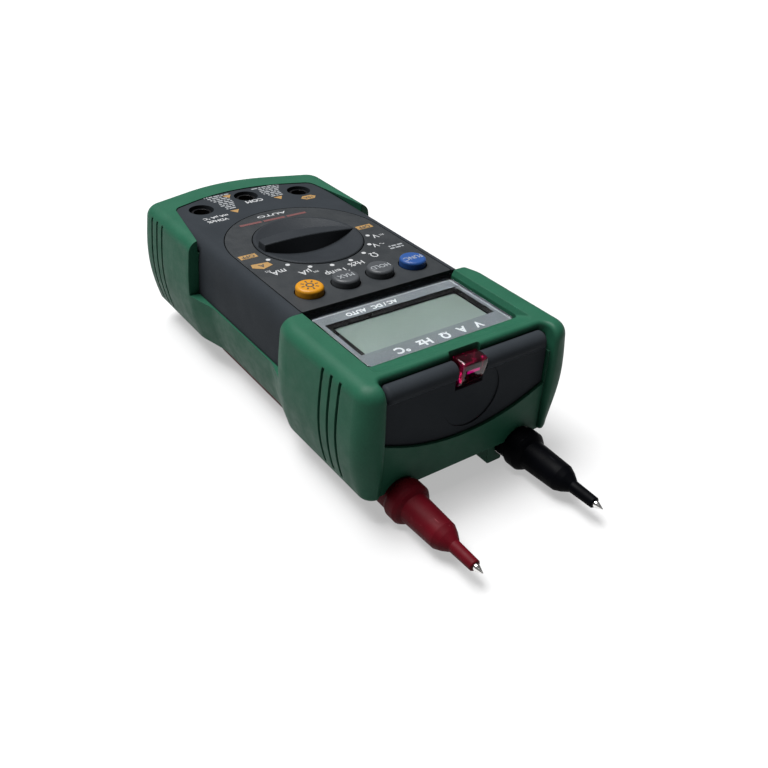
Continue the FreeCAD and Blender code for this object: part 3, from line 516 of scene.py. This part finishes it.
def make_sensor_window():
    """Polished red window of the voltage sensor, with the bar of its diode inside, given a painted glow.
    """
    low, high = measured(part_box("ncv_window"))
    face = [(high.y - back, high.z - down) for back, down in WINDOW_FACE]
    profile = [(low.y, high.z), (high.y - WINDOW_LIP, high.z), *face, (low.y, low.z)]
    window = rounded_block("sensor_window", low.x + WINDOW_SIDE_GAP, high.x - WINDOW_SIDE_GAP, profile,
                           WINDOW_RADIUS, FINISHES["red_window"])
    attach(window, "meter")
    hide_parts("ncv_window")
    low, high = measured(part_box("ncv_led"))
    back, foot, head = high.y - DIODE_DEPTH, low.z + DIODE_FOOT, low.z + DIODE_HEAD
    bar = [(back, head), (high.y, head), (high.y, foot), (back, foot)]
    # the diode's bar carries the painted glow
    diode = rounded_block("sensor_diode", low.x - DIODE_OVERHANG, high.x + DIODE_OVERHANG, bar,
                          DIODE_RADIUS, DIODE_PAINTED_GLOW)
    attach(diode, "meter")
    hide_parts("ncv_led")


# ---- printing --------------------------------------------------------------------------------
DISC_SIDES, RING_SIDES = 24, 32
LETTER_STEPS = 3        # how finely the curves of letters are divided
SAME_PLACE = 1e-7       # corners nearer than this, in metres, are merged


class Print:
    """Ink in one colour, gathered from flat outlines into one thin raised mesh."""

    def __init__(self, thickness):
        self.mesh = bmesh.new()
        self.thickness = thickness * MM

    def outline(self, points, z):
        """Closed outline of (x, y) points in millimetres, anticlockwise, raised from height z."""
        low = [self.mesh.verts.new(at(x, y, z)) for x, y in points]
        high = [self.mesh.verts.new(at(x, y, z) + Vector((0, 0, self.thickness))) for x, y in points]
        self.mesh.faces.new(high)
        self.mesh.faces.new(low[::-1])
        for i in range(len(points)):
            j = (i + 1) % len(points)
            self.mesh.faces.new((low[i], low[j], high[j], high[i]))

    def shape(self, x, y, points, z):
        """Closed outline round the point (x, y)."""
        self.outline([(x + dx, y + dy) for dx, dy in points], z)

    def box(self, x0, x1, y0, y1, z):
        self.outline([(x0, y0), (x1, y0), (x1, y1), (x0, y1)], z)

    def disc(self, x, y, radius, z):
        self.shape(x, y, [around(radius, 360 * i / DISC_SIDES) for i in range(DISC_SIDES)], z)

    def ring(self, x, y, radius, width, z):
        """Flat ring, as one band of quads with its own walls."""
        rows = []
        for r, lift in ((radius - width, 0), (radius, 0), (radius, 1), (radius - width, 1)):
            raised = Vector((0, 0, lift * self.thickness))
            turned = [around(r, 360 * i / RING_SIDES) for i in range(RING_SIDES)]
            rows.append([self.mesh.verts.new(at(x + dx, y + dy, z) + raised) for dx, dy in turned])
        for k, inner in enumerate(rows):
            outer = rows[(k + 1) % len(rows)]
            for i in range(RING_SIDES):
                j = (i + 1) % RING_SIDES
                self.mesh.faces.new((inner[j], inner[i], outer[i], outer[j]))

    def border(self, half_x, y0, y1, width, z):
        """Thin rectangular line round (±half_x, y0..y1)."""
        self.box(-half_x, half_x, y0, y0 + width, z)
        self.box(-half_x, half_x, y1 - width, y1, z)
        self.box(-half_x, -half_x + width, y0 + width, y1 - width, z)
        self.box(half_x - width, half_x, y0 + width, y1 - width, z)

    def text(self, words, x, y, size, z, bold=0.0, stretch=1.0):
        """Words centred on (x, y), as tall as size, in the built-in face."""
        curve = bpy.data.curves.new("words", "FONT")
        curve.body = words
        curve.align_x = "CENTER"
        curve.align_y = "CENTER"
        curve.size = size * MM
        curve.extrude = self.thickness / 2
        curve.offset = bold * MM
        curve.resolution_u = LETTER_STEPS
        holder = bpy.data.objects.new("words", curve)
        made = bpy.data.meshes.new_from_object(holder)
        lift = Vector((0, 0, self.thickness / 2))
        made.transform(Matrix.Translation(at(x, y, z) + lift) @ Matrix.Diagonal((stretch, 1, 1, 1)))
        self.mesh.from_mesh(made)
        bpy.data.meshes.remove(made)
        bpy.data.objects.remove(holder)
        bpy.data.curves.remove(curve)

    def piece(self, name, body, material):
        """Make the gathered ink a piece that rides on that body."""
        bmesh.ops.remove_doubles(self.mesh, verts=self.mesh.verts, dist=SAME_PLACE)
        made = new_piece(name, self.mesh, material)
        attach(made, body)


# ---- what is printed, and where --------------------------------------------------------------
INK = 0.04                       # thickness of the ink on the panel
THIN_INK = 0.03                  # and of the ink over it and on the caps
ON_PANEL, ON_INK = 0.0, INK      # heights that ink starts from

DOTS = 8
DOT_ANGLE = 20                   # between one dot and the next, in degrees
DOT_DISTANCE = 19.6
DOT_RADIUS = 0.72

# The range marks round the dial: what each says, its middle and its size.
RANGE_WORDS = (
    ("mA", (19.6, 15.4), 3.9), ("µA", (12.7, 19.4), 3.8), ("Temp", (4.5, 23.6), 3.6),
    ("Hz%", (-3.6, 21.9), 3.3), ("Ω", (-11.9, 19.4), 4.0), ("V", (-16.3, 13.9), 3.7),
    ("V", (-20.3, 8.1), 3.7),
)
RANGE_BOLD, RANGE_STRETCH = 0.03, 0.92
AUTO_PLACE = (0.5, -23.2)
AUTO_SIZE, AUTO_BOLD, AUTO_STRETCH = 2.3, 0.03, 1.7

DIRECT_PLACES = ((22.3, 13.6), (9.9, 20.6), (-22.9, 8.2))
ALTERNATING_PLACE = (-18.9, 14.0)
CURRENT_WIDTH = 1.7
BAR_LOW, BAR_HIGH = 0.18, 0.42   # of the bar above the mark's middle, and of the dashes below it
DASH_HALF = 0.21
DASH_PITCH = CURRENT_WIDTH / 2.6
WAVE_STEPS = 12
WAVE_HEIGHT = 0.34
WAVE_HALF = 0.13                 # half the thickness of the wave's line

# The words at the sockets: what each says, its middle, its size and how bold it is.
SOCKET_WORDS = (
    ("COM", (-0.4, -36.8), 2.9, 0.08), ("VΩHz%", (18.2, -27.3), 2.3, 0.06),
    ("mA µA °C", (17.6, -30.1), 2.1, 0.06),
)
TEN_AMP_PLACE = (-18.8, -30.6)
TEN_AMP_BADGE = ((-3.0, -0.2), (-1.6, -1.7), (1.6, -1.7), (3.0, -0.2), (1.6, 1.5), (-1.6, 1.5))
TEN_AMP_SIZE, TEN_AMP_BOLD = 2.3, 0.05

OFF_PLACES = ((22.7, 1.9), (-21.4, 0.4))
OFF_HALF_X, OFF_HALF_Y = 2.9, 1.3
OFF_SIZE, OFF_BOLD = 2.5, 0.06
AMP_PLACE = (22.0, 9.2)
AMP_BADGE = ((-3.2, 1.1), (-2.7, -1.2), (2.7, -1.8), (3.3, 0.4), (0.6, 2.4))
AMP_LIFT = 0.2                   # of the letter above the badge's middle
AMP_SIZE, AMP_BOLD = 2.7, 0.06
CAUTION_PLACES = ((9.4, -31.6), (5.9, -44.6), (-9.5, -35.2))
CAUTION_SIGN = ((-1.7, -1.1), (1.7, -1.1), (0, 1.5))

RED_BARS = ((-10.8, -3.4), (-2.6, 5.4), (6.2, 14.2))
RED_LOW, RED_HIGH = -20.2, -18.9

# Blocks of small print: the first row's y, the step to the next, and each row's two ends.
NOTE_BLOCKS = (
    (-46.6, 1.5, ((4.6, 14.2), (8.0, 13.8), (6.6, 13.0), (6.2, 12.5), (6.2, 12.2), (6.4, 12.0),
                  (7.0, 12.0), (7.5, 11.8), (7.9, 11.4))),
    (-46.6, 1.5, ((-15.6, -4.0), (-14.9, -6.6), (-14.0, -6.3), (-13.0, -6.1), (-12.6, -6.2),
                  (-12.4, -6.6), (-12.2, -7.6))),
    (18.6, -1.5, ((-24.2, -18.6), (-24.6, -19.4))),
)
WORD_LENGTHS = (1.7, 0.9, 2.3, 1.3, 0.7, 1.9)
WORD_GAP = 0.45
NOTE_HALF = 0.4

# The keys: the body that each cap rides on, and the word on it with its size.
KEY_BODIES = {"function_button": "function_key", "hold_button": "hold_key", "max_button": "max_key",
              "backlight_button": "backlight_key"}
CAP_WORDS = {"function_button": ("FUNC", 2.9), "hold_button": ("HOLD", 2.9), "max_button": ("MAX", 3.0)}
CAP_STRETCH = 0.85
LAMP_RADIUS, LAMP_LINE = 1.25, 0.46
LAMP_RAYS = 8
RAY_NEAR, RAY_FAR = 1.7, 2.7
RAY_HALF = 0.24

LENS_INSET = 0.1
MASK_DEPTH, MASK_INK = 0.08, 0.05          # how far behind the lens the mask is, and its thickness
MARKS_DEPTH, MARKS_INK = 0.028, 0.02       # and those of the marks in front of it
WINDOW_HALF, WINDOW_LOW, WINDOW_HIGH = 23.0, 46.1, 63.8
FRAME_HALF, FRAME_LOW, FRAME_HIGH = 24.3, 42.0, 70.0
FRAME_LINE = 0.22
TOWARD_WINDOW = 0.1                        # how far words stand off the middle of their border
# The words above and below the window: what they say, their middle, size and boldness.
LENS_WORDS = (
    ("V   A   Ω   Hz   °C", (-0.5, (WINDOW_HIGH + FRAME_HIGH) / 2 - TOWARD_WINDOW), 3.9, 0.14),
    ("AC / DC   AUTO", (6.0, (WINDOW_LOW + FRAME_LOW) / 2 + TOWARD_WINDOW), 2.4, 0.08),
)


def direct_current(ink, x, y, z):
    """Direct-current mark: a bar over three dashes."""
    ink.box(x - CURRENT_WIDTH / 2, x + CURRENT_WIDTH / 2, y + BAR_LOW, y + BAR_HIGH, z)
    for i in (-1, 0, 1):
        centre = x + i * DASH_PITCH
        ink.box(centre - DASH_HALF, centre + DASH_HALF, y - BAR_HIGH, y - BAR_LOW, z)


def alternating_current(ink, x, y, z):
    """Alternating-current mark: one wave, as a thin bent strip."""
    upper, lower = [], []
    for i in range(WAVE_STEPS + 1):
        along = CURRENT_WIDTH * (i / WAVE_STEPS - 0.5)
        wave = WAVE_HEIGHT * math.sin(2 * math.pi * i / WAVE_STEPS)
        upper.append((along, wave + WAVE_HALF))
        lower.append((along, wave - WAVE_HALF))
    ink.shape(x, y, lower + upper[::-1], z)


def small_print(ink, left, right, y, word):
    """Row of bars as long as words, starting with that one of WORD_LENGTHS."""
    while left < right - WORD_GAP:
        end = min(left + WORD_LENGTHS[word % len(WORD_LENGTHS)], right)
        ink.box(left, end, y - NOTE_HALF, y + NOTE_HALF, ON_PANEL)
        left = end + WORD_GAP
        word += 1


def print_white():
    """Dots, range marks and socket marks."""
    white = Print(INK)
    for i in range(DOTS):
        white.disc(*around(DOT_DISTANCE, DOT_ANGLE * (i + 1)), DOT_RADIUS, ON_PANEL)
    for words, place, size in RANGE_WORDS:
        white.text(words, *place, size, ON_PANEL, RANGE_BOLD, RANGE_STRETCH)
    for place in DIRECT_PLACES:
        direct_current(white, *place, ON_PANEL)
    alternating_current(white, *ALTERNATING_PLACE, ON_PANEL)
    for words, place, size, bold in SOCKET_WORDS:
        white.text(words, *place, size, ON_PANEL, bold)
    white.text("AUTO", *AUTO_PLACE, AUTO_SIZE, ON_PANEL, AUTO_BOLD, AUTO_STRETCH)
    white.piece("panel_print_white", "meter", WHITE_INK)


def print_notes():
    """Small print between the sockets and beside the dial."""
    notes = Print(INK)
    row = 0
    for y, step, ends in NOTE_BLOCKS:
        for left, right in ends:
            small_print(notes, left, right, y, row)
            y += step
            row += 1
    notes.piece("panel_print_notes", "meter", NOTE_INK)


def print_yellow():
    """Badges behind the OFF and ampere marks, and the caution signs."""
    yellow = Print(INK)
    for x, y in OFF_PLACES:
        yellow.box(x - OFF_HALF_X, x + OFF_HALF_X, y - OFF_HALF_Y, y + OFF_HALF_Y, ON_PANEL)
    yellow.shape(*AMP_PLACE, AMP_BADGE, ON_PANEL)
    yellow.shape(*TEN_AMP_PLACE, TEN_AMP_BADGE, ON_PANEL)
    for place in CAUTION_PLACES:
        yellow.shape(*place, CAUTION_SIGN, ON_PANEL)
    yellow.piece("panel_print_yellow", "meter", YELLOW_INK)


def print_dark():
    """Words on the yellow badges."""
    dark = Print(THIN_INK)
    for place in OFF_PLACES:
        dark.text("OFF", *place, OFF_SIZE, ON_INK, OFF_BOLD)
    x, y = AMP_PLACE
    dark.text("A", x, y + AMP_LIFT, AMP_SIZE, ON_INK, AMP_BOLD)
    dark.text("10A", *TEN_AMP_PLACE, TEN_AMP_SIZE, ON_INK, TEN_AMP_BOLD)
    dark.piece("panel_print_dark", "meter", DARK_INK)


def print_red():
    """Bars across the panel below the dial."""
    red = Print(INK)
    for left, right in RED_BARS:
        red.box(left, right, RED_LOW, RED_HIGH, ON_PANEL)
    red.piece("panel_print_red", "meter", RED_INK)


def print_caps():
    """HOLD, MAX and FUNC on the caps, and a lamp mark on the yellow one."""
    for node, (words, size) in CAP_WORDS.items():
        x, y, z = top_middle(node)
        ink = Print(THIN_INK)
        ink.text(words, x, y, size, z, stretch=CAP_STRETCH)
        ink.piece(node + "_print", KEY_BODIES[node], CAP_INK)
    x, y, z = top_middle("backlight_button")
    ink = Print(THIN_INK)
    ink.ring(x, y, LAMP_RADIUS, LAMP_LINE, z)
    ray = ((RAY_NEAR, -RAY_HALF), (RAY_FAR, -RAY_HALF), (RAY_FAR, RAY_HALF), (RAY_NEAR, RAY_HALF))
    for i in range(LAMP_RAYS):
        dx, dy = around(1.0, 360 * i / LAMP_RAYS)
        ink.shape(x, y, [(along * dx - across * dy, along * dy + across * dx) for along, across in ray], z)
    ink.piece("backlight_button_print", KEY_BODIES["backlight_button"], DARK_INK)


def print_lens():
    """Grey mask printed behind the lens, with its thin pale frame and unit marks."""
    low, high = measured(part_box("display_lens"))
    left, right = low.x + LENS_INSET, high.x - LENS_INSET
    z = low.z - MASK_DEPTH
    mask = Print(MASK_INK)
    mask.box(left, right, low.y + LENS_INSET, WINDOW_LOW, z)
    mask.box(left, right, WINDOW_HIGH, high.y - LENS_INSET, z)
    mask.box(left, -WINDOW_HALF, WINDOW_LOW, WINDOW_HIGH, z)
    mask.box(WINDOW_HALF, right, WINDOW_LOW, WINDOW_HIGH, z)
    mask.piece("lens_mask", "meter", GREY_INK)
    z = low.z - MARKS_DEPTH
    pale = Print(MARKS_INK)
    pale.border(FRAME_HALF, FRAME_LOW, FRAME_HIGH, FRAME_LINE, z)
    pale.piece("lens_frame_print", "meter", PALE_INK)
    marks = Print(MARKS_INK)
    for words, place, size, bold in LENS_WORDS:
        marks.text(words, *place, size, z, bold)
    marks.piece("lens_words_print", "meter", LENS_INK)


make_camera()
make_lights()
make_world()
make_floor()
finish_nodes()
make_sensor_window()
print_white()
print_notes()
print_yellow()
print_dark()
print_red()
print_caps()
print_lens()
